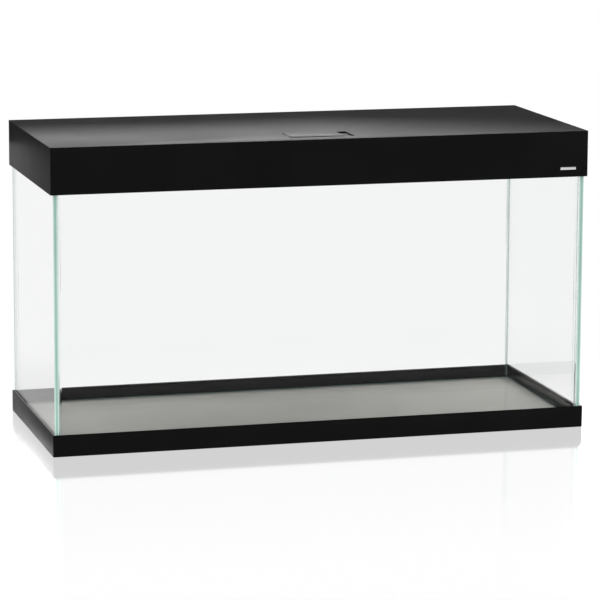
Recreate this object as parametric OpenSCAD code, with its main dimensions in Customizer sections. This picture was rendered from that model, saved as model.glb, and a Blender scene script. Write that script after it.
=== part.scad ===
// Framed glass aquarium tank with a lift-off lighting hood.
// Millimetres. Origin at the middle of the base, +X along the length, -Y at the front, +Z up.

/* [Glass tank] */
// Length of the glass tank
tank_length = 1000; // [940:10:1060]
// Depth of the glass tank
tank_depth = 400; // [380:10:440]
// Height of the upright panes
tank_height = 500; // [440:10:560]
// Thickness of the panes
glass = 8; // [6:1:10]
// Thickness of the silicone between two panes
bond = 1; // [0.5:0.25:1.5]
// Leg of a silicone bead in a corner
bead = 6; // [4:1:8]
// Width of the bracing strips along the rim
brace_width = 40; // [30:5:50]
// Thickness of the bracing strips
brace_thick = 6; // [5:1:8]

/* [Bottom frame] */
// Height of the bottom frame
frame_height = 40; // [34:1:50]
// Wall of the bottom frame
frame_wall = 3; // [2.5:0.5:4]
// Gap between the glass and the frame's wall
frame_gap = 1; // [0.5:0.5:2]
// Width of the ledge that carries the tank
ledge_width = 25; // [20:1:35]
// Thickness of that ledge
ledge_thick = 4; // [3:0.5:5]
// Thickness of the foam mat on the ledge
mat_thick = 8; // [6:1:10]

/* [Hood] */
// Height of the hood's outside
hood_height = 85; // [80:1:95]
// Height of the roof's top above the glass rim
hood_rise = 48; // [46:1:56]
// Wall of the hood
hood_wall = 3; // [2.5:0.5:4]
// Gap between the glass and the hood's wall
hood_gap = 2; // [1.5:0.5:3]
// Width of the rest that sits on the glass rim
rest_width = 20; // [16:1:26]
// Width of each hose notch in the back
notch_width = 90; // [60:5:120]

/* [Feeding flap] */
// Length of the flap's seat along the hood
seat_length = 104; // [96:1:120]
// Depth of the flap's seat
seat_depth = 64; // [60:1:72]
// Distance from the hood's front to the seat
seat_setback = 34; // [28:1:44]
// How far the flap with its finger recess sits right of the middle
seat_offset = 5; // [-20:1:20]
// Gap round the flap
flap_gap = 1; // [0.8:0.1:1.2]
// Gap along the flap's hinge
hinge_gap = 2; // [1.5:0.25:2.5]
// Thickness of the flap's panel
flap_thick = 3.2; // [3:0.1:3.5]
// How far the flap stands proud of the roof
flap_proud = 0.8; // [0.5:0.1:1]

/* [Lamps] */
// Radius of a lamp tube
tube_radius = 13; // [12:0.5:13]
// Length of a lamp tube
tube_length = 860; // [800:10:880]
// Number of light-emitting diodes in a lamp
led_count = 30; // [10:2:40]

/* [Hidden] */
$fn = 96;
over = 1; // how far a cut runs past the face it goes through

// Heights of the glass
glass_z = ledge_thick + mat_thick;
floor_z = glass_z + glass;
rim_z = glass_z + tank_height;
brace_z = rim_z - 22;

// Bottom frame
frame_in = [tank_length + 2 * frame_gap, tank_depth + 2 * frame_gap];
frame_out = frame_in + 2 * [frame_wall, frame_wall];
mat_play = 0.5;

// Clear space between the upright panes
inside = [tank_length - 2 * glass, tank_depth - 2 * glass];
inner_corner = inside / 2;

// Hood
hood_in = [tank_length + 2 * hood_gap, tank_depth + 2 * hood_gap];
hood_out = hood_in + 2 * [hood_wall, hood_wall];
hood_top = rim_z + hood_rise;
hood_low = hood_top - hood_height;
roof_low = hood_top - hood_wall;
notch_x = hood_in[0] / 2 - 32 - notch_width;
notch_top = rim_z + 23;
rib_height = 8;
rib_thick = 2.5;
rib_places = [-330, -110, 110, 330];

// Feeding flap, hinged along its left edge, with a finger recess across its right end
recess_show = 18;
recess_under = 6;
recess_deep = 2.8;
recess_wall = 2;
seat_left = seat_offset - (seat_length + recess_show) / 2;
seat_right = seat_left + seat_length;
seat_front = -hood_out[1] / 2 + seat_setback;
seat_rear = seat_front + seat_depth;
seat_low = hood_top + flap_proud - flap_thick;
seat_block = 2.5;
seat_lip = 8;
barrel_radius = 3;
hinge_x = seat_left + hinge_gap + barrel_radius;
hinge_z = hood_top + flap_proud - barrel_radius;
trench = 4.5;
trench_wall = 2;
throat_left = hinge_x + trench + trench_wall + 0.5;
throat_right = seat_right - 14;
trunnion_radius = 1.25;
trunnion_reach = 5.5;
socket_radius = 1.33;
socket_depth = 6;
lug = [12, 7, 5];
flap_rib = 1.6;
flap_rib_drop = 3.5;

// Plain badge, let flush into the hood's front
badge_size = [30, 0.6, 5];
badge_at = [hood_out[0] / 2 - 38, -hood_out[1] / 2, hood_low + 16];

// Lamps
lamp_y = [-50, 70];
lamp_z = roof_low - 23;
tube_wall = 1.5;
cap_radius = tube_radius + 1.5;
cap_length = 42;
cap_socket = 12;
fit_play = 0.05;
cap_x = tube_length / 2 - cap_socket;
gland_radius = 5;
gland_bore = 2.5;
gland_length = 14;
carrier_radius = tube_radius - tube_wall - 0.2;
carrier_wall = 1.6;
board = [tube_length - 30, 12, 1.6];
led = [5, 5, 1];
led_pitch = (tube_length - 60) / (led_count - 1);

// Clips that hold the lamps under the roof
clip_places = [-250, 250];
clip_width = 14;
clip_grip = tube_radius + 0.08;
clip_ring = clip_grip + 2.4;
clip_mouth = 19;
flange = [16, 46, 3];
flange_z = lamp_z + 12;
screw_y = 18;
screw_radius = 1.5;
screw_head = [3.2, 2];
screw_bite = 6;
boss_radius = 4;

// A block centred on the Z axis, from low to high
module block(size, low, high) {
    translate([-size[0] / 2, -size[1] / 2, low]) cube([size[0], size[1], high - low]);
}

// A block between two corners
module span(from, to) {
    translate(from) cube(to - from);
}

// A cylinder along X, from one X to another
module rod(from_x, to_x, radius) {
    translate([from_x, 0, 0]) rotate([0, 90, 0]) cylinder(r = radius, h = to_x - from_x);
}

// A hollow-faced bead of the given length along Z, in the corner of the +X and +Y planes
module bead_along_z(leg, length) {
    difference() {
        cube([leg, leg, length]);
        translate([leg, leg, -over]) cylinder(r = leg, h = length + 2 * over);
    }
}

// ---- Bottom frame ----

module bottom_frame() {
    color([0.03, 0.03, 0.03])
    difference() {
        block(frame_out, 0, frame_height);
        block(frame_in, ledge_thick, frame_height + over);
        block(frame_in - 2 * [ledge_width, ledge_width], -over, ledge_thick + over);
    }
}

module base_mat() {
    color([0.55, 0.55, 0.54])
    block(frame_in - 2 * [mat_play, mat_play], ledge_thick, glass_z);
}

module frame_sealant() {
    color([0.05, 0.05, 0.05])
    difference() {
        block(frame_in, frame_height - 6, frame_height - 0.5);
        block([tank_length, tank_depth], frame_height - 6 - over, frame_height);
    }
}

// ---- Glass ----

module pane(size, low, high) {
    color([0.75, 0.92, 0.88, 0.3]) block(size, low, high);
}

module bottom_pane() {
    pane(inside - 2 * [bond, bond], glass_z, floor_z);
}

module long_pane(side) {
    translate([0, side * (tank_depth - glass) / 2, 0])
        pane([inside[0] - 2 * bond, glass], glass_z, rim_z);
}

module end_pane(side) {
    translate([side * (tank_length - glass) / 2, 0, 0])
        pane([glass, tank_depth], glass_z, rim_z);
}

// A bracing strip along the top of a long pane, clear of the corner beads
module long_brace(side) {
    translate([0, side * (inner_corner[1] - bond - brace_width / 2), 0])
        pane([inside[0] - 2 * bead, brace_width], brace_z, brace_z + brace_thick);
}

// The cross strip lies on both long braces
module centre_brace() {
    low = brace_z + brace_thick + bond;
    pane([2 * brace_width, inside[1] - 4 * bond], low, low + brace_thick);
}

// ---- Silicone ----

// The bond at the end of a long pane, with the bead inside the corner
module corner_seal(side_x, side_y) {
    color([0.85, 0.87, 0.86])
    mirror([side_x > 0 ? 0 : 1, 0, 0])
    mirror([0, side_y > 0 ? 0 : 1, 0]) {
        span([inner_corner[0] - bond, inner_corner[1], glass_z],
             [inner_corner[0], inner_corner[1] + glass, rim_z]);
        translate([inner_corner[0], inner_corner[1], floor_z])
            rotate([0, 0, 180]) bead_along_z(bead, rim_z - floor_z);
    }
}

// Beads along the floor's four edges, running into the corner beads
module floor_beads() {
    for (side = [0, 180]) rotate([0, 0, side]) {
        translate([-inner_corner[0], -inner_corner[1], floor_z])
            rotate([90, 0, 90]) bead_along_z(bead, inside[0]);
        translate([-inner_corner[0], inner_corner[1], floor_z])
            rotate([90, 0, 0]) bead_along_z(bead, inside[1]);
    }
}

module base_seal() {
    color([0.85, 0.87, 0.86]) {
        difference() {
            block(inside, glass_z, floor_z);
            block(inside - 2 * [bond, bond], glass_z - over, floor_z + over);
        }
        difference() {
            floor_beads();
            for (x = [0, 1]) for (y = [0, 1]) mirror([x, 0, 0]) mirror([0, y, 0])
                translate([inner_corner[0], inner_corner[1], floor_z - over])
                    rotate([0, 0, 180]) bead_along_z(bead, bead + 2 * over);
        }
    }
}

// Behind each long brace and under it, and between it and the cross strip
module brace_seals() {
    length = inside[0] - 2 * bead;
    top = brace_z + brace_thick;
    color([0.85, 0.87, 0.86])
    for (side = [0, 1]) mirror([0, side, 0]) {
        span([-length / 2, inner_corner[1] - bond, brace_z], [length / 2, inner_corner[1], top]);
        translate([-length / 2, inner_corner[1], brace_z])
            rotate([180, 0, 0]) rotate([90, 0, 90]) bead_along_z(bead - 1, length);
        span([-brace_width, inner_corner[1] - bond - brace_width, top],
             [brace_width, inner_corner[1] - 2 * bond, top + bond]);
    }
}

// ---- Hood ----

// The finger recess, grown by the given amount
module recess(grow, low, high) {
    span([seat_right - recess_under - grow, seat_front - grow, low],
         [seat_right + recess_show + grow, seat_rear + grow, high]);
}

// Everything under the roof that carries the flap
module flap_mount() {
    rim = 4;
    span([seat_left - rim, seat_front - rim, seat_low - seat_block],
         [seat_right + rim, seat_rear + rim, roof_low + over / 2]);
    for (y = [seat_front - lug[1], seat_rear])
        span([hinge_x - lug[0] / 2, y, hinge_z - lug[2]],
             [hinge_x + lug[0] / 2, y + lug[1], roof_low + over / 2]);
    span([seat_left - trench_wall, seat_front, hinge_z - trench - trench_wall],
         [throat_left, seat_rear, roof_low]);
    recess(recess_wall, hood_top - recess_deep - recess_wall, roof_low + over / 2);
}

// The seat, the throat under it, the trench for the hinge barrel, its sockets and the recess
module flap_cuts() {
    span([seat_left, seat_front, seat_low], [seat_right, seat_rear, hood_top + over]);
    span([throat_left, seat_front + seat_lip, seat_low - seat_block - 2 * over],
         [throat_right, seat_rear - seat_lip, hood_top + over]);
    span([seat_left, seat_front, hinge_z - trench], [hinge_x + trench, seat_rear, hood_top + over]);
    translate([hinge_x, seat_rear + socket_depth, hinge_z])
        rotate([90, 0, 0]) cylinder(r = socket_radius, h = seat_depth + 2 * socket_depth);
    recess(0, hood_top - recess_deep, hood_top + over);
}

module clip_bosses() {
    for (x = clip_places) for (y = lamp_y) for (side = [-1, 1])
        translate([x, y + side * screw_y, flange_z + flange[2]])
            cylinder(r = boss_radius, h = roof_low + over / 2 - flange_z - flange[2]);
}

module boss_holes() {
    for (x = clip_places) for (y = lamp_y) for (side = [-1, 1])
        translate([x, y + side * screw_y, flange_z + flange[2] - over])
            cylinder(r = screw_radius + 0.02, h = screw_bite + 0.5 + over);
}

// Walls and roof, with the rest that sits on the glass rim
module hood_walls() {
    difference() {
        block(hood_out, hood_low, hood_top);
        block(hood_in, hood_low - over, rim_z);
        block(hood_in - 2 * [rest_width, rest_width], rim_z - over, rim_z + hood_wall + over);
        block(hood_in, rim_z + hood_wall, roof_low);
    }
}

module roof_ribs() {
    for (x = rib_places)
        span([x - rib_thick / 2, seat_rear + 5, roof_low - rib_height],
             [x + rib_thick / 2, hood_in[1] / 2 + over, roof_low + over / 2]);
}

// Notches in the back for hoses and leads
module hose_notches() {
    for (side = [0, 1]) mirror([side, 0, 0])
        span([notch_x, hood_in[1] / 2 - rest_width - over, hood_low - over],
             [notch_x + notch_width, hood_out[1] / 2 + over, notch_top]);
}

module hood_shell() {
    color([0.03, 0.03, 0.03])
    difference() {
        union() {
            hood_walls();
            roof_ribs();
            flap_mount();
            clip_bosses();
        }
        hose_notches();
        flap_cuts();
        boss_holes();
        translate(badge_at - [badge_size[0] / 2, over, badge_size[2] / 2])
            cube([badge_size[0], badge_size[1] + over, badge_size[2]]);
    }
}

module badge() {
    color([0.75, 0.75, 0.76])
    translate(badge_at - [badge_size[0] / 2, 0, badge_size[2] / 2]) cube(badge_size);
}

// Panel, stiffening rim, hinge barrel and its two trunnions, in one moulding
module feeding_flap() {
    front = seat_front + flap_gap;
    rear = seat_rear - flap_gap;
    rim_low = [throat_left + 1.5, seat_front + seat_lip + 1.5, seat_low - flap_rib_drop];
    rim_high = [throat_right - 1.5, seat_rear - seat_lip - 1.5, seat_low + 0.5];
    color([0.035, 0.035, 0.035])
    union() {
        span([hinge_x, front, seat_low], [seat_right - flap_gap, rear, hood_top + flap_proud]);
        difference() {
            span(rim_low, rim_high);
            span(rim_low + [flap_rib, flap_rib, -over], rim_high - [flap_rib, flap_rib, 0.5]);
        }
        translate([hinge_x, rear, hinge_z]) rotate([90, 0, 0])
            cylinder(r = barrel_radius, h = rear - front);
        translate([hinge_x, rear + trunnion_reach, hinge_z]) rotate([90, 0, 0])
            cylinder(r = trunnion_radius, h = rear - front + 2 * trunnion_reach);
    }
}

// ---- Lamps ----

// The spring clip: a flange under the roof and a ring that is open below
module lamp_clip() {
    difference() {
        union() {
            translate([-flange[0] / 2, -flange[1] / 2, flange_z]) cube(flange);
            translate([0, 0, lamp_z]) rod(-clip_width / 2, clip_width / 2, clip_ring);
        }
        translate([0, 0, lamp_z]) rod(-clip_width, clip_width, clip_grip);
        translate([-clip_width, -clip_mouth / 2, lamp_z - clip_ring - over])
            cube([2 * clip_width, clip_mouth, clip_ring]);
        for (side = [-1, 1]) translate([0, side * screw_y, flange_z - over])
            cylinder(r = screw_radius + 0.2, h = flange[2] + 2 * over);
    }
}

module lamp_clips() {
    color([0.1, 0.1, 0.1])
    for (x = clip_places) for (y = lamp_y) translate([x, y, 0]) lamp_clip();
}

module clip_screw() {
    slot = 0.8;
    difference() {
        union() {
            translate([0, 0, -screw_head[1]]) cylinder(r = screw_head[0], h = screw_head[1]);
            cylinder(r = screw_radius, h = flange[2] + screw_bite);
        }
        for (turn = [0, 90]) rotate([0, 0, turn])
            translate([-2, -slot / 2, -screw_head[1] - over]) cube([4, slot, 1 + over]);
    }
}

module clip_screws() {
    color([0.7, 0.7, 0.72])
    for (x = clip_places) for (y = lamp_y) for (side = [-1, 1])
        translate([x, y + side * screw_y, flange_z]) clip_screw();
}

module lamp_tube(y) {
    color([0.92, 0.95, 0.97, 0.5])
    translate([0, y, lamp_z]) difference() {
        rod(-tube_length / 2, tube_length / 2, tube_radius);
        rod(-tube_length / 2 - over, tube_length / 2 + over, tube_radius - tube_wall);
    }
}

// A blind cap over a tube's end, with two grip grooves; the right one takes the lead's gland
module lamp_cap(y, side, with_gland) {
    color([0.06, 0.06, 0.06])
    translate([0, y, lamp_z]) mirror([side > 0 ? 0 : 1, 0, 0]) difference() {
        rod(cap_x, cap_x + cap_length, cap_radius);
        rod(cap_x - over, cap_x + cap_socket + fit_play, tube_radius + fit_play);
        for (groove = [16, 22]) translate([cap_x + groove, 0, 0]) difference() {
            rod(0, 2, cap_radius + over);
            rod(-over, 2 + over, cap_radius - 0.8);
        }
        if (with_gland)
            rod(cap_x + cap_length - gland_length, cap_x + cap_length + over, gland_radius + fit_play);
    }
}

// The rubber gland in the right cap; the lead itself isn't part of the model
module lamp_gland(y) {
    far = cap_x + cap_length;
    color([0.12, 0.12, 0.12])
    translate([0, y, lamp_z]) difference() {
        union() {
            rod(far - gland_length, far + 4, gland_radius);
            rod(far, far + 1.5, gland_radius + 2);
        }
        rod(far - gland_length - over, far + 4 + over, gland_bore);
    }
}

// The part of a round bar along X that lies above the given height
module half_rod(length, radius, low) {
    difference() {
        rod(-length / 2, length / 2, radius);
        span([-length / 2 - over, -radius - over, -radius - over], [length / 2 + over, radius + over, low]);
    }
}

// Hollow half-round aluminium profile in the upper half of the tube
module lamp_carrier(y) {
    color([0.8, 0.8, 0.82])
    translate([0, y, lamp_z]) difference() {
        half_rod(board[0], carrier_radius, 0);
        half_rod(board[0] + 2 * over, carrier_radius - carrier_wall, carrier_wall);
    }
}

module lamp_board(y) {
    color([0.93, 0.93, 0.9])
    translate([-board[0] / 2, y - board[1] / 2, lamp_z - board[2]]) cube(board);
}

module lamp_leds(y) {
    color([0.95, 0.85, 0.45])
    for (i = [0 : led_count - 1])
        translate([(i - (led_count - 1) / 2) * led_pitch - led[0] / 2, y - led[1] / 2,
                   lamp_z - board[2] - led[2]]) cube(led);
}

bottom_frame();
base_mat();
bottom_pane();
long_pane(-1);  // front_pane
long_pane(1);  // rear_pane
end_pane(-1);  // left_pane
end_pane(1);  // right_pane
long_brace(-1);  // front_brace
long_brace(1);  // rear_brace
centre_brace();
corner_seal(-1, -1);  // seal_front_left
corner_seal(1, -1);  // seal_front_right
corner_seal(-1, 1);  // seal_rear_left
corner_seal(1, 1);  // seal_rear_right
base_seal();
brace_seals();
frame_sealant();
hood_shell();
badge();
feeding_flap();
lamp_clips();
clip_screws();
lamp_tube(lamp_y[0]);  // front_lamp_tube
lamp_cap(lamp_y[0], -1, false);  // front_lamp_cap_left
lamp_cap(lamp_y[0], 1, true);  // front_lamp_cap_right
lamp_gland(lamp_y[0]);  // front_lamp_gland
lamp_carrier(lamp_y[0]);  // front_lamp_carrier
lamp_board(lamp_y[0]);  // front_lamp_board
lamp_leds(lamp_y[0]);  // front_lamp_leds
lamp_tube(lamp_y[1]);  // rear_lamp_tube
lamp_cap(lamp_y[1], -1, false);  // rear_lamp_cap_left
lamp_cap(lamp_y[1], 1, true);  // rear_lamp_cap_right
lamp_gland(lamp_y[1]);  // rear_lamp_gland
lamp_carrier(lamp_y[1]);  // rear_lamp_carrier
lamp_board(lamp_y[1]);  // rear_lamp_board
lamp_leds(lamp_y[1]);  // rear_lamp_leds
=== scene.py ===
"""A framed glass aquarium tank with a lift-off lighting hood, on a pale studio floor."""

import math

import bmesh
import bpy
from mathutils import Matrix, Vector


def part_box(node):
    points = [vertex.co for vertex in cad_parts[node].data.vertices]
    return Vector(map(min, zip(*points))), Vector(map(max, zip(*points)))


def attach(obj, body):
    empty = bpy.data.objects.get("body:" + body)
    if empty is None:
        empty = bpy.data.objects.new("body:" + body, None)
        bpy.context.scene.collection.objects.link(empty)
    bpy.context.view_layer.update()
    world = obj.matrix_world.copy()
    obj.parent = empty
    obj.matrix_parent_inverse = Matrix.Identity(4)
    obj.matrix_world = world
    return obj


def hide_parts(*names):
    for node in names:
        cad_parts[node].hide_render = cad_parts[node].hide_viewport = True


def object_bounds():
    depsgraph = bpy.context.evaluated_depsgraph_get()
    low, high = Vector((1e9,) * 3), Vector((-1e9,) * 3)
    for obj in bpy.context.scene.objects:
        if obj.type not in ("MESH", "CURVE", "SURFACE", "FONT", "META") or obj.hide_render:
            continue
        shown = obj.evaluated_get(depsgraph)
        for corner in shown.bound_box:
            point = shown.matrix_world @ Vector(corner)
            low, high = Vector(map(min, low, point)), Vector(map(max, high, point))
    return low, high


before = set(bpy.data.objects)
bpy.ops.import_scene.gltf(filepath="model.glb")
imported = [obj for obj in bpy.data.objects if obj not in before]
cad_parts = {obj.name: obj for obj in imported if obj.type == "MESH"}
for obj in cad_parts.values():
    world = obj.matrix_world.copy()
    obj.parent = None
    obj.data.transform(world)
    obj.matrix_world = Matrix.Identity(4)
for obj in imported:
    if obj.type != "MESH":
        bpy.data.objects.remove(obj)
cad_low, cad_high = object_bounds()

MM = 0.001
TANK, HOOD, FLAP = "tank", "hood", "flap"
LAMPS = ("front_lamp", "rear_lamp")
PANES = ("bottom_pane", "front_pane", "rear_pane", "left_pane", "right_pane",
         "front_brace", "rear_brace", "centre_brace")

# Glass and silicone: refractive indices that give weak reflections, and gaps that let light in
GLASS_INDEX = 1.2
FLOOR_GLASS_INDEX = 1.04
SILICONE_INDEX = 1.015
LIT_EDGE_INDEX = 1.15
CUT_EDGE_INDEX = 1.5
PANE_CLEARANCE = 0.1 * MM
SILICONE_INSET = 0.06 * MM
MOULDED_EDGE = 1.2 * MM

# Camera
CAMERA_AT = (-1.537, -5.572, 1.290)
CAMERA_YAW = 15.515
CAMERA_PITCH = 9.305
CAMERA_ROLL = 0.228
LENS = 187.0
SHIFT_UP = -0.1

# Studio
FLOOR_HALF = 120.0
FLOOR_MIRROR = 0.8
FLOOR_MIRROR_FAR = 0.1
FLOOR_ROUGH = 0.08
SKY_LOW = 0.45
SKY_HIGH = 1.2
SKY_FILL = 2.2
BACK_GLOW = 6.6
OVERHEAD_GLOW = 5.4
OVERHEAD_Z = 2.3


# ---- Node helpers ----

def new_material(name):
    """A material with a Principled shader; returns (material, nodes, links, shader)."""
    material = bpy.data.materials.new(name)
    material.use_nodes = True
    tree = material.node_tree
    return material, tree.nodes, tree.links, tree.nodes["Principled BSDF"]


def object_coords(nodes):
    return nodes.new("ShaderNodeTexCoord").outputs["Object"]


def noise(nodes, links, scale, detail=2.0, roughness=0.5, stretch=(1, 1, 1)):
    """Noise in object space; the scale is in repeats per metre."""
    mapping = nodes.new("ShaderNodeMapping")
    mapping.inputs["Scale"].default_value = stretch
    texture = nodes.new("ShaderNodeTexNoise")
    texture.inputs["Scale"].default_value = scale
    texture.inputs["Detail"].default_value = detail
    texture.inputs["Roughness"].default_value = roughness
    links.new(object_coords(nodes), mapping.inputs["Vector"])
    links.new(mapping.outputs["Vector"], texture.inputs["Vector"])
    return texture.outputs["Fac"]


def ramp(nodes, links, value, stops):
    """A colour ramp over a value; stops are (position, colour or grey)."""
    node = nodes.new("ShaderNodeValToRGB")
    elements = node.color_ramp.elements
    while len(elements) < len(stops):
        elements.new(0.5)
    for element, (position, colour) in zip(elements, stops):
        element.position = position
        if not isinstance(colour, tuple):
            colour = (colour, colour, colour)
        element.color = (*colour, 1.0)
    links.new(value, node.inputs["Fac"])
    return node.outputs["Color"]


def bump(nodes, links, shader, height, distance, strength=1.0):
    node = nodes.new("ShaderNodeBump")
    node.inputs["Distance"].default_value = distance
    node.inputs["Strength"].default_value = strength
    links.new(height, node.inputs["Height"])
    links.new(node.outputs["Normal"], shader.inputs["Normal"])


# ---- Materials ----

def satin_plastic(name, level, rough=(0.34, 0.42), specular=0.023, tint=(1, 1, 1)):
    """Moulded plastic with a fine spark-eroded grain and slight variation in gloss."""
    material, nodes, links, shader = new_material(name)
    grain = noise(nodes, links, 2600, 3)
    cloud = noise(nodes, links, 7, 3)
    dark = tuple(level * 0.85 * t for t in tint)
    light = tuple(level * 1.15 * t for t in tint)
    links.new(ramp(nodes, links, cloud, [(0.3, dark), (0.7, light)]), shader.inputs["Base Color"])
    links.new(ramp(nodes, links, cloud, [(0.3, rough[0]), (0.7, rough[1])]), shader.inputs["Roughness"])
    shader.inputs["Specular IOR Level"].default_value = specular
    bump(nodes, links, shader, grain, 0.00003, 0.5)
    return material


def pane_glass(name, index):
    """Float glass: clear, with a faint green body colour and the least waviness."""
    material, nodes, links, shader = new_material(name)
    wave = noise(nodes, links, 5, 1)
    links.new(ramp(nodes, links, wave, [(0.3, (0.944, 0.950, 0.948)), (0.7, (0.952, 0.958, 0.956))]),
              shader.inputs["Base Color"])
    shader.inputs["Roughness"].default_value = 0.0
    shader.inputs["IOR"].default_value = index
    shader.inputs["Transmission Weight"].default_value = 1.0
    return material


def pane_edge(axis, painted_light_lift=0.0, through=0.0):
    """The ground and polished edge of a pane, darkest along the middle of its thickness and painted paler
    towards its arrises, a painted highlight where they catch the light.

    The lift paints it paler, standing in for the light that falls on it from behind, and through lets light
    pass. Both run from 0 to 1.
    """
    material, nodes, links, shader = new_material("pane_edge_" + "xyz"[axis] + ("_painted_lit" if through else ""))
    generated = nodes.new("ShaderNodeTexCoord").outputs["Generated"]
    split = nodes.new("ShaderNodeSeparateXYZ")
    links.new(generated, split.inputs["Vector"])
    across = split.outputs[axis]
    # The pale rim colour is a painted highlight along the arrises; the core is the edge's own deep green
    painted_arris_highlight, flank, core = [tuple(c + (1 - c) * painted_light_lift for c in colour) for colour in
                        ((0.60, 0.76, 0.71), (0.38, 0.55, 0.49), (0.23, 0.39, 0.335))]
    body = ramp(nodes, links, across, [(0.0, painted_arris_highlight), (0.22, flank), (0.5, core), (0.78, flank), (1.0, painted_arris_highlight)])
    streak = noise(nodes, links, 9, 3, 0.6)
    mix = nodes.new("ShaderNodeMix")
    mix.data_type = "RGBA"
    mix.blend_type = "MULTIPLY"
    mix.inputs["Factor"].default_value = 1.0
    links.new(body, mix.inputs["A"])
    links.new(ramp(nodes, links, streak, [(0.3, 0.86), (0.7, 1.0)]), mix.inputs["B"])
    links.new(mix.outputs["Result"], shader.inputs["Base Color"])
    shader.inputs["Roughness"].default_value = 0.22
    shader.inputs["IOR"].default_value = LIT_EDGE_INDEX if through else CUT_EDGE_INDEX
    shader.inputs["Transmission Weight"].default_value = through
    bump(nodes, links, shader, noise(nodes, links, 900, 2), 0.00003, 0.4)
    return material


def clear_silicone():
    """Cured clear silicone, a little milky and soft in its gloss."""
    material, nodes, links, shader = new_material("clear_silicone")
    cloud = noise(nodes, links, 30, 2)
    links.new(ramp(nodes, links, cloud, [(0.3, (0.92, 0.95, 0.94)), (0.7, (0.97, 0.99, 0.98))]),
              shader.inputs["Base Color"])
    links.new(ramp(nodes, links, cloud, [(0.3, 0.10), (0.7, 0.18)]), shader.inputs["Roughness"])
    shader.inputs["IOR"].default_value = SILICONE_INDEX
    shader.inputs["Transmission Weight"].default_value = 1.0
    return material


def foam_mat():
    """Closed-cell foam sheet: a pale grey skin of small cells."""
    material, nodes, links, shader = new_material("foam_mat")
    cells = nodes.new("ShaderNodeTexVoronoi")
    cells.inputs["Scale"].default_value = 700
    links.new(object_coords(nodes), cells.inputs["Vector"])
    cloud = noise(nodes, links, 6, 3)
    mix = nodes.new("ShaderNodeMix")
    mix.data_type = "RGBA"
    mix.blend_type = "MULTIPLY"
    mix.inputs["Factor"].default_value = 1.0
    links.new(ramp(nodes, links, cloud, [(0.3, (0.56, 0.54, 0.505)), (0.7, (0.61, 0.59, 0.555))]),
              mix.inputs["A"])
    links.new(ramp(nodes, links, cells.outputs["Distance"], [(0.0, 1.0), (0.6, 0.9)]), mix.inputs["B"])
    links.new(mix.outputs["Result"], shader.inputs["Base Color"])
    shader.inputs["Roughness"].default_value = 0.85
    shader.inputs["Specular IOR Level"].default_value = 0.2
    bump(nodes, links, shader, cells.outputs["Distance"], 0.0002, 0.5)
    return material


def brushed(name, colour, rough, stretch):
    """Metal with fine lines along one direction."""
    material, nodes, links, shader = new_material(name)
    lines = noise(nodes, links, 900, 2, 0.5, stretch)
    dark = tuple(0.88 * c for c in colour)
    links.new(ramp(nodes, links, lines, [(0.3, dark), (0.7, colour)]), shader.inputs["Base Color"])
    links.new(ramp(nodes, links, lines, [(0.3, rough), (0.7, rough + 0.12)]), shader.inputs["Roughness"])
    shader.inputs["Metallic"].default_value = 1.0
    bump(nodes, links, shader, lines, 0.00002, 0.4)
    return material


def speckled(name, colour, rough, scale, spread=0.12, transmission=0.0):
    """A moulded or printed surface with a little variation in its colour."""
    material, nodes, links, shader = new_material(name)
    cloud = noise(nodes, links, scale, 3)
    dark = tuple((1 - spread) * c for c in colour)
    links.new(ramp(nodes, links, cloud, [(0.3, dark), (0.7, colour)]), shader.inputs["Base Color"])
    links.new(ramp(nodes, links, cloud, [(0.3, rough), (0.7, rough + 0.1)]), shader.inputs["Roughness"])
    shader.inputs["Transmission Weight"].default_value = transmission
    bump(nodes, links, shader, cloud, 0.00005, 0.3)
    return material


# ---- Mesh helpers ----

def add_object(name, mesh, body, nodes, materials):
    piece = bpy.data.objects.new(name, mesh)
    bpy.context.scene.collection.objects.link(piece)
    for material in materials:
        piece.data.materials.append(material)
    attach(piece, body)
    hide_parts(*nodes)
    return piece


def shade(mesh, angle=35.0, broad=2.5 * MM):
    """Smooth shading, with sharp edges kept crisp and broad faces flat, so that their gloss is even."""
    for face in mesh.polygons:
        longest = max((mesh.vertices[a].co - mesh.vertices[b].co).length for a, b in face.edge_keys)
        face.use_smooth = face.area < broad * longest
    mesh.set_sharp_from_angle(angle=math.radians(angle))


def softened(node, name, body, material, width, segments=3):
    """The CAD node's own shape with its sharp edges rounded, as a moulding's are."""
    work = bmesh.new()
    work.from_mesh(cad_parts[node].data)
    bmesh.ops.remove_doubles(work, verts=work.verts, dist=1e-6)
    bmesh.ops.dissolve_limit(work, angle_limit=math.radians(0.5), verts=work.verts, edges=work.edges)
    sharp = [e for e in work.edges
             if len(e.link_faces) == 2 and e.calc_face_angle(0.0) > math.radians(40)]
    bmesh.ops.bevel(work, geom=sharp, offset=width, offset_type="OFFSET", segments=segments,
                    profile=0.5, affect="EDGES", clamp_overlap=True)
    mesh = bpy.data.meshes.new(name)
    work.to_mesh(mesh)
    work.free()
    shade(mesh)
    return add_object(name, mesh, body, [node], [material])


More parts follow.
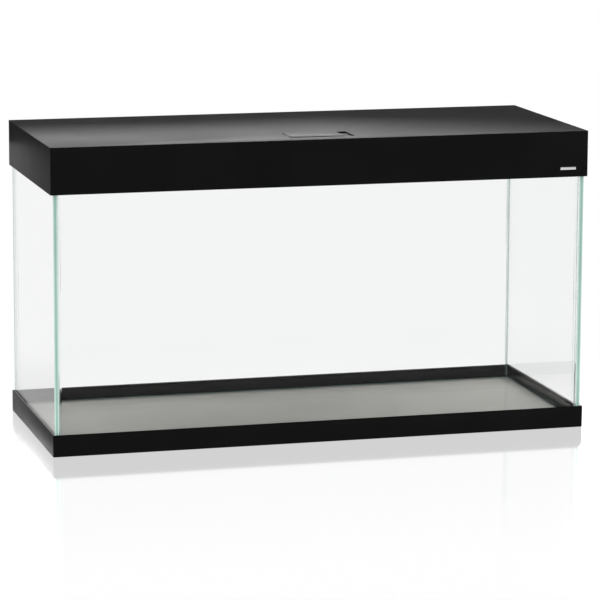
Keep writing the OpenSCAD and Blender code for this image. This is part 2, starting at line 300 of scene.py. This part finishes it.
def pane(node, face_material, edge_materials, bonded):
    """A glass pane with arrised edges: clear on its two faces, green round its edges.

    It is drawn in by a hair at its lower side, so that light gets between it and what it lies on.
    The edges that face along the bonded axes stay clear, because silicone wets them, and the edges
    that face the back let light through and are painted paler, standing in for the light from behind.
    """
    low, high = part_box(node)
    low.z += PANE_CLEARANCE
    size = high - low
    thin = min(range(3), key=lambda i: size[i])
    work = bmesh.new()
    bmesh.ops.create_cube(work, size=1.0)
    for vertex in work.verts:
        vertex.co = Vector([(low[i] + high[i]) / 2 + vertex.co[i] * size[i] for i in range(3)])
    bmesh.ops.bevel(work, geom=list(work.edges), offset=0.7 * MM, offset_type="OFFSET", segments=2,
                    profile=0.5, affect="EDGES")
    for face in work.faces:
        faces_bond = any(abs(face.normal[axis]) > 0.7 for axis in bonded)
        face.material_index = 0 if faces_bond or abs(face.normal[thin]) > 0.999 else 1
        # Edges that face the back get the edge material that is painted paler, as light from behind would
        # show them
        if face.material_index == 1 and face.normal.y > 0.7:
            face.material_index = 2
    mesh = bpy.data.meshes.new(node)
    work.to_mesh(mesh)
    work.free()
    shade(mesh, 20)
    return add_object("glass_" + node, mesh, TANK, [node], [face_material, *edge_materials[thin]])


def shrunk(node, material):
    """The CAD node's shape, drawn in a little from the faces that it is bonded to."""
    work = bmesh.new()
    work.from_mesh(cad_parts[node].data)
    bmesh.ops.remove_doubles(work, verts=work.verts, dist=1e-6)
    work.normal_update()
    for vertex, normal in [(v, v.normal.copy()) for v in work.verts]:
        vertex.co -= normal * SILICONE_INSET
    mesh = bpy.data.meshes.new(node)
    work.to_mesh(mesh)
    work.free()
    shade(mesh)
    return add_object("clear_" + node, mesh, TANK, [node], [material])


def dress(node, material):
    """A better material on a CAD node whose shape stays as it is."""
    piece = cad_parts[node]
    piece.data.materials.clear()
    piece.data.materials.append(material)


# ---- The tank ----

def make_tank():
    glass = pane_glass("pane_glass", GLASS_INDEX)
    floor_glass = pane_glass("floor_glass", FLOOR_GLASS_INDEX)
    # The second edge material of each pair lets light through and is painted paler: painted light from
    # behind
    edges = [(pane_edge(axis), pane_edge(axis, 0.2, 0.6)) for axis in range(3)]
    for node in PANES:
        bonded = {"bottom_pane": (0, 1), "front_pane": (0,), "rear_pane": (0,)}.get(node, ())
        pane(node, floor_glass if node == "bottom_pane" else glass, edges, bonded)
    softened("bottom_frame", "frame_ring", TANK,
             satin_plastic("frame_plastic", 0.005), MOULDED_EDGE)
    softened("base_mat", "foam_sheet", TANK, foam_mat(), 0.6 * MM)
    silicone = clear_silicone()
    for node in ("seal_front_left", "seal_front_right", "seal_rear_left", "seal_rear_right",
                 "base_seal", "brace_seals"):
        shrunk(node, silicone)
    dress("frame_sealant", satin_plastic("black_sealant", 0.01, (0.25, 0.35), 0.3))


# ---- The hood ----

def make_hood():
    softened("hood_shell", "hood_cover", HOOD,
             satin_plastic("hood_plastic", 0.005, (0.42, 0.47)), MOULDED_EDGE)
    softened("feeding_flap", "flap_panel", FLAP,
             satin_plastic("flap_plastic", 0.005, tint=(1.0, 1.0, 0.94)), 0.35 * MM, 2)
    softened("badge", "badge_plate", HOOD,
             brushed("badge_metal", (0.78, 0.78, 0.79), 0.25, (1, 1, 8)), 0.15 * MM, 2)
    dress("lamp_clips", satin_plastic("clip_plastic", 0.03, (0.4, 0.5), 0.4))
    dress("clip_screws", brushed("screw_steel", (0.70, 0.70, 0.72), 0.2, (1, 1, 1)))


# ---- The lamps ----

def make_lamps():
    tube = speckled("lamp_tube", (0.95, 0.97, 0.98), 0.03, 12, 0.02, 1.0)
    cap = satin_plastic("lamp_cap", 0.02, (0.2, 0.3), 0.4)
    gland = speckled("gland_rubber", (0.03, 0.03, 0.03), 0.6, 400)
    carrier = brushed("carrier_aluminium", (0.82, 0.82, 0.84), 0.25, (0.05, 1, 1))
    board = speckled("board_white", (0.86, 0.86, 0.83), 0.3, 300, 0.05)
    phosphor = speckled("led_phosphor", (0.92, 0.76, 0.25), 0.35, 900, 0.15)
    for lamp in LAMPS:
        dress(lamp + "_tube", tube)
        for side in ("left", "right"):
            softened(f"{lamp}_cap_{side}", f"{lamp}_end_{side}", lamp, cap, 0.5 * MM, 2)
        dress(lamp + "_gland", gland)
        dress(lamp + "_carrier", carrier)
        dress(lamp + "_board", board)
        dress(lamp + "_leds", phosphor)


# ---- Studio ----

def maths(nodes, links, operation, first, second=0.5):
    node = nodes.new("ShaderNodeMath")
    node.operation = operation
    for socket, value in zip(node.inputs[:2], (first, second)):
        if isinstance(value, (int, float)):
            socket.default_value = value
        else:
            links.new(value, socket)
    return node.outputs[0]


def smooth_range(nodes, links, value, start, end, low, high):
    node = nodes.new("ShaderNodeMapRange")
    node.interpolation_type = "SMOOTHSTEP"
    for name, number in (("From Min", start), ("From Max", end), ("To Min", low), ("To Max", high)):
        node.inputs[name].default_value = number
    links.new(value, node.inputs["Value"])
    return node.outputs["Result"]


def make_floor():
    """A white glowing floor with a mirror sheen that dies away from the tank, like a lit acrylic table."""
    mesh = bpy.data.meshes.new("floor")
    corners = [(x * FLOOR_HALF, y * FLOOR_HALF, 0) for x, y in ((-1, -1), (1, -1), (1, 1), (-1, 1))]
    mesh.from_pydata(corners, [], [(0, 1, 2, 3)])
    floor = bpy.data.objects.new("floor", mesh)
    bpy.context.scene.collection.objects.link(floor)
    material = bpy.data.materials.new("floor")
    material.use_nodes = True
    nodes, links = material.node_tree.nodes, material.node_tree.links
    nodes.remove(nodes["Principled BSDF"])
    split = nodes.new("ShaderNodeSeparateXYZ")
    links.new(object_coords(nodes), split.inputs["Vector"])
    gaps = [maths(nodes, links, "SUBTRACT", maths(nodes, links, "ABSOLUTE", split.outputs[axis]), half)
            for axis, half in (("X", cad_high.x), ("Y", cad_high.y))]
    distance = maths(nodes, links, "MAXIMUM", *gaps)
    facing = nodes.new("ShaderNodeLayerWeight").outputs["Facing"]
    nearby = smooth_range(nodes, links, distance, 0.25, 0.9, FLOOR_MIRROR, FLOOR_MIRROR_FAR)
    grazing = smooth_range(nodes, links, facing, 0.45, 0.74, 0.1, 1.0)
    sheen = maths(nodes, links, "MULTIPLY", nearby, grazing)
    mirror = nodes.new("ShaderNodeBsdfGlossy")
    mirror.inputs["Roughness"].default_value = FLOOR_ROUGH
    links.new(sheen, mirror.inputs["Color"])
    # What the sheen takes from the sky, the glow leaves out, so that the open floor is one even white
    level = maths(nodes, links, "SUBTRACT", 1.0, maths(nodes, links, "MULTIPLY", sheen, SKY_LOW))
    in_gloss = maths(nodes, links, "GREATER_THAN", nodes.new("ShaderNodeLightPath").outputs["Glossy Depth"])
    # In the tank's own gloss the floor's glow is a little dimmer close to the tank: painted shade around
    # the tank, seen only in reflections
    near = smooth_range(nodes, links, distance, 0.15, 0.6, 0.6, 0.95)
    painted_gloss_shade = maths(nodes, links, "MULTIPLY_ADD", in_gloss, maths(nodes, links, "SUBTRACT", near, 1.0))
    painted_gloss_shade.node.inputs[2].default_value = 1.0
    glow = nodes.new("ShaderNodeEmission")
    links.new(maths(nodes, links, "MULTIPLY", level, painted_gloss_shade), glow.inputs["Strength"])
    both = nodes.new("ShaderNodeAddShader")
    links.new(glow.outputs[0], both.inputs[0])
    links.new(mirror.outputs[0], both.inputs[1])
    links.new(both.outputs[0], nodes["Material Output"].inputs["Surface"])
    mesh.materials.append(material)


def make_sky():
    """Soft grey near the horizon, brighter overhead, and stronger as fill light than in gloss."""
    world = bpy.data.worlds.new("studio")
    world.use_nodes = True
    nodes, links = world.node_tree.nodes, world.node_tree.links
    split = nodes.new("ShaderNodeSeparateXYZ")
    links.new(nodes.new("ShaderNodeTexCoord").outputs["Generated"], split.inputs["Vector"])
    level = smooth_range(nodes, links, split.outputs["Z"], 0.5, 0.95, SKY_LOW, SKY_HIGH)
    as_fill = maths(nodes, links, "GREATER_THAN", nodes.new("ShaderNodeLightPath").outputs["Diffuse Depth"])
    fill = smooth_range(nodes, links, as_fill, 0, 1, 1, SKY_FILL)
    background = nodes["Background"]
    background.inputs["Color"].default_value = (1, 1, 1, 1)
    links.new(maths(nodes, links, "MULTIPLY", level, fill), background.inputs["Strength"])
    bpy.context.scene.world = world


def card(name, corners, glow, in_gloss):
    """A studio card out of the camera's sight, seen only in gloss or only as fill: a light, or black."""
    mesh = bpy.data.meshes.new(name)
    mesh.from_pydata(corners, [], [(0, 1, 2, 3)])
    panel = bpy.data.objects.new(name, mesh)
    bpy.context.scene.collection.objects.link(panel)
    material = bpy.data.materials.new(name)
    material.use_nodes = True
    nodes, links = material.node_tree.nodes, material.node_tree.links
    nodes.remove(nodes["Principled BSDF"])
    light = nodes.new("ShaderNodeEmission")
    light.inputs["Strength"].default_value = glow
    links.new(light.outputs[0], nodes["Material Output"].inputs["Surface"])
    mesh.materials.append(material)
    panel.visible_camera = False
    panel.visible_glossy = in_gloss
    panel.visible_diffuse = not in_gloss
    panel.visible_transmission = not in_gloss
    panel.visible_shadow = False


def make_cards():
    """Cards that shape the hood's sheen, and a broad soft light over the tank and behind it."""
    top = cad_high.z
    back = cad_high.y
    card("back_light", [(-2.0, back + 1.6, top - 0.05), (1.6, back + 1.6, top - 0.05),
                        (1.6, back + 1.6, top + 1.1), (-2.0, back + 1.6, top + 1.1)], BACK_GLOW, True)
    card("rear_flag", [(-1.0, back + 0.05, top - 0.05), (1.4, back + 0.05, top - 0.05),
                       (1.4, back + 0.05, top + 0.08), (-1.0, back + 0.05, top + 0.08)], 0.0, True)
    card("right_flag", [(-0.05, back + 0.05, top + 0.05), (1.4, back + 0.05, top + 0.05),
                        (1.4, back + 0.05, top + 0.40), (0.8, back + 0.05, top + 0.2)], 0.0, True)
    for name, (left, near), (right, far) in (("overhead_light", (-1.6, back), (2.4, back + 1.3)),
                                             ("right_light", (0.8, -1.0), (2.4, back))):
        corners = [(left, near, OVERHEAD_Z), (right, near, OVERHEAD_Z),
                   (right, far, OVERHEAD_Z), (left, far, OVERHEAD_Z)]
        card(name, corners, OVERHEAD_GLOW, False)


def make_camera():
    data = bpy.data.cameras.new("camera")
    data.lens = LENS
    data.sensor_width = 36
    data.shift_y = SHIFT_UP
    data.clip_end = 500
    camera = bpy.data.objects.new("camera", data)
    bpy.context.scene.collection.objects.link(camera)
    turn = (Matrix.Rotation(math.radians(-CAMERA_YAW), 4, "Z")
            @ Matrix.Rotation(math.radians(90 - CAMERA_PITCH), 4, "X")
            @ Matrix.Rotation(math.radians(CAMERA_ROLL), 4, "Z"))
    camera.matrix_world = Matrix.Translation(CAMERA_AT) @ turn
    bpy.context.scene.camera = camera


make_camera()
make_tank()
make_hood()
make_lamps()
make_floor()
make_sky()
make_cards()
bpy.context.scene.view_settings.view_transform = "Standard"
